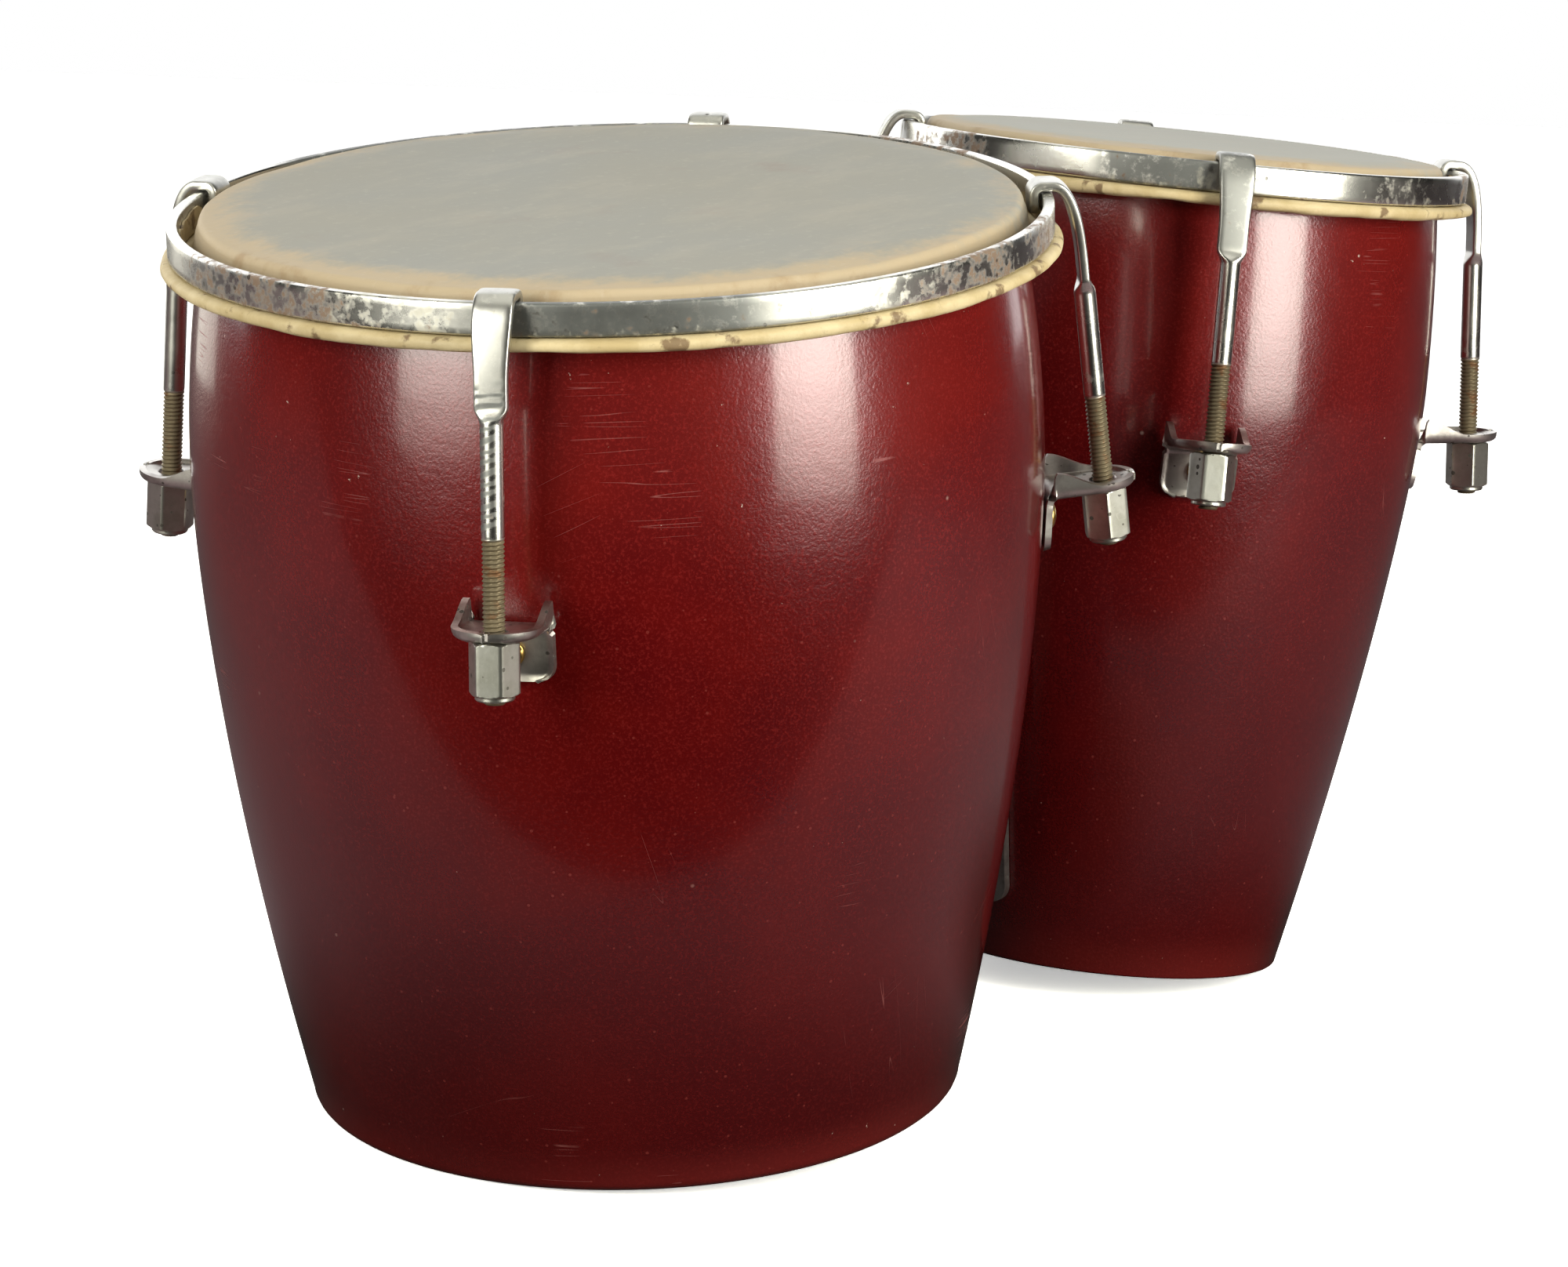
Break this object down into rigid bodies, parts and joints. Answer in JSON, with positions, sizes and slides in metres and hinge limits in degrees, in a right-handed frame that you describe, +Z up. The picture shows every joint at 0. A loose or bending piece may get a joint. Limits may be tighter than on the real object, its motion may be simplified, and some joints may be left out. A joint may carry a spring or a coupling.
{
  "type": "bongo drums",
  "caption": "Bongo drums: a larger and a smaller tapered lacquered shell joined at the middle, rawhide heads, metal counterhoops and hooked tuning rods with nuts under brackets.",
  "frame": {"origin": "on the floor, under the middle of the bounding box", "axes": "+Z up, +X from the large drum to the small one, through both drum axes"},
  "size_m": [0.436, 0.234, 0.2471],
  "materials": {
    "lacquered_wood": "deep burgundy lacquer over wood, glossy, speckled and scratched",
    "stained_wood": "dark stained wood",
    "rawhide": "natural rawhide, worn grey in the middle, cream at the turned-over edge",
    "flesh_hoop_hide": "tan rawhide wrapped round a ring",
    "worn_chrome": "chrome plating, pitted, with brown stains",
    "worn_nickel": "dull nickel plating",
    "pressed_steel": "pressed steel, nickel plated, tarnished",
    "brass": "brass"
  },
  "bodies": {
    "drums": {"large_shell": "lacquered_wood", "large_skin": "rawhide", "large_bracket_1": "pressed_steel", "large_bracket_2": "pressed_steel", "large_bracket_3": "pressed_steel", "large_bracket_4": "pressed_steel", "large_bracket_screw_1": "brass", "large_bracket_screw_2": "brass", "large_bracket_screw_3": "brass", "large_bracket_screw_4": "brass", "large_centre_strap": "pressed_steel", "large_bolt_1": "worn_nickel", "large_bolt_2": "worn_nickel", "large_washer_1": "worn_nickel", "large_washer_2": "worn_nickel", "small_shell": "lacquered_wood", "small_skin": "rawhide", "small_bracket_1": "pressed_steel", "small_bracket_2": "pressed_steel", "small_bracket_3": "pressed_steel", "small_bracket_4": "pressed_steel", "small_bracket_screw_1": "brass", "small_bracket_screw_2": "brass", "small_bracket_screw_3": "brass", "small_bracket_screw_4": "brass", "small_centre_strap": "pressed_steel", "small_bolt_1": "worn_nickel", "small_bolt_2": "worn_nickel", "small_washer_1": "worn_nickel", "small_washer_2": "worn_nickel", "centre_block": "stained_wood"},
    "large_rim": {"large_counterhoop": "worn_chrome", "large_flesh_hoop": "flesh_hoop_hide", "large_hook_1": "worn_chrome", "large_hook_2": "worn_chrome", "large_hook_3": "worn_chrome", "large_hook_4": "worn_chrome"},
    "large_nut_body_1": {"large_nut_1": "worn_nickel"},
    "large_nut_body_2": {"large_nut_2": "worn_nickel"},
    "large_nut_body_3": {"large_nut_3": "worn_nickel"},
    "large_nut_body_4": {"large_nut_4": "worn_nickel"},
    "small_rim": {"small_counterhoop": "worn_chrome", "small_flesh_hoop": "flesh_hoop_hide", "small_hook_1": "worn_chrome", "small_hook_2": "worn_chrome", "small_hook_3": "worn_chrome", "small_hook_4": "worn_chrome"},
    "small_nut_body_1": {"small_nut_1": "worn_nickel"},
    "small_nut_body_2": {"small_nut_2": "worn_nickel"},
    "small_nut_body_3": {"small_nut_3": "worn_nickel"},
    "small_nut_body_4": {"small_nut_4": "worn_nickel"}
  },
  "joints": [
    {"name": "large_nut_1_turn", "type": "hinge", "parent": "drums", "child": "large_nut_body_1", "pos_m": [-0.14679, 0.10833, 0.15489], "axis": [-0.0568, -0.0806, 0.9951], "range_deg": [-1030, 690]},
    {"name": "large_nut_2_turn", "type": "hinge", "parent": "drums", "child": "large_nut_body_2", "pos_m": [-0.20865, -0.06186, 0.14929], "axis": [-0.0129, 0.0404, 0.9991], "range_deg": [-1030, 690]},
    {"name": "large_nut_3_turn", "type": "hinge", "parent": "drums", "child": "large_nut_body_3", "pos_m": [-0.01521, -0.0928, 0.16679], "axis": [-0.1504, 0.0624, 0.9867], "range_deg": [-1030, 690]},
    {"name": "large_nut_4_turn", "type": "hinge", "parent": "drums", "child": "large_nut_body_4", "pos_m": [0.00771, 0.05171, 0.16887], "axis": [-0.1667, -0.0404, 0.9852], "range_deg": [-1030, 690]},
    {"name": "large_rim_slide", "type": "slide", "parent": "drums", "child": "large_rim", "axis": [0.0901, 0, -0.9959], "range_m": [-0.003, 0.002]},
    {"name": "small_nut_1_turn", "type": "hinge", "parent": "drums", "child": "small_nut_body_1", "pos_m": [0.06704, 0.0627, 0.16249], "axis": [0.1537, -0.0637, 0.9861], "range_deg": [-1030, 690]},
    {"name": "small_nut_2_turn", "type": "hinge", "parent": "drums", "child": "small_nut_body_2", "pos_m": [0.06472, -0.07061, 0.16271], "axis": [0.1559, 0.0616, 0.9859], "range_deg": [-1030, 690]},
    {"name": "small_nut_3_turn", "type": "hinge", "parent": "drums", "child": "small_nut_body_3", "pos_m": [0.20063, -0.06464, 0.14974], "axis": [0.0282, 0.056, 0.998], "range_deg": [-1030, 690]},
    {"name": "small_nut_4_turn", "type": "hinge", "parent": "drums", "child": "small_nut_body_4", "pos_m": [0.19404, 0.06159, 0.15037], "axis": [0.0344, -0.0626, 0.9974], "range_deg": [-1030, 690]},
    {"name": "small_rim_slide", "type": "slide", "parent": "drums", "child": "small_rim", "axis": [-0.095, 0, -0.9955], "range_m": [-0.003, 0.002]}
  ],
  "couplings": [
    {"joint": "large_nut_1_turn", "follows": "large_rim_slide", "rad_per_m": 5938.7},
    {"joint": "large_nut_2_turn", "follows": "large_rim_slide", "rad_per_m": 5938.7},
    {"joint": "large_nut_3_turn", "follows": "large_rim_slide", "rad_per_m": 5938.7},
    {"joint": "large_nut_4_turn", "follows": "large_rim_slide", "rad_per_m": 5938.7},
    {"joint": "small_nut_1_turn", "follows": "small_rim_slide", "rad_per_m": 5938.7},
    {"joint": "small_nut_2_turn", "follows": "small_rim_slide", "rad_per_m": 5938.7},
    {"joint": "small_nut_3_turn", "follows": "small_rim_slide", "rad_per_m": 5938.7},
    {"joint": "small_nut_4_turn", "follows": "small_rim_slide", "rad_per_m": 5938.7}
  ]
}
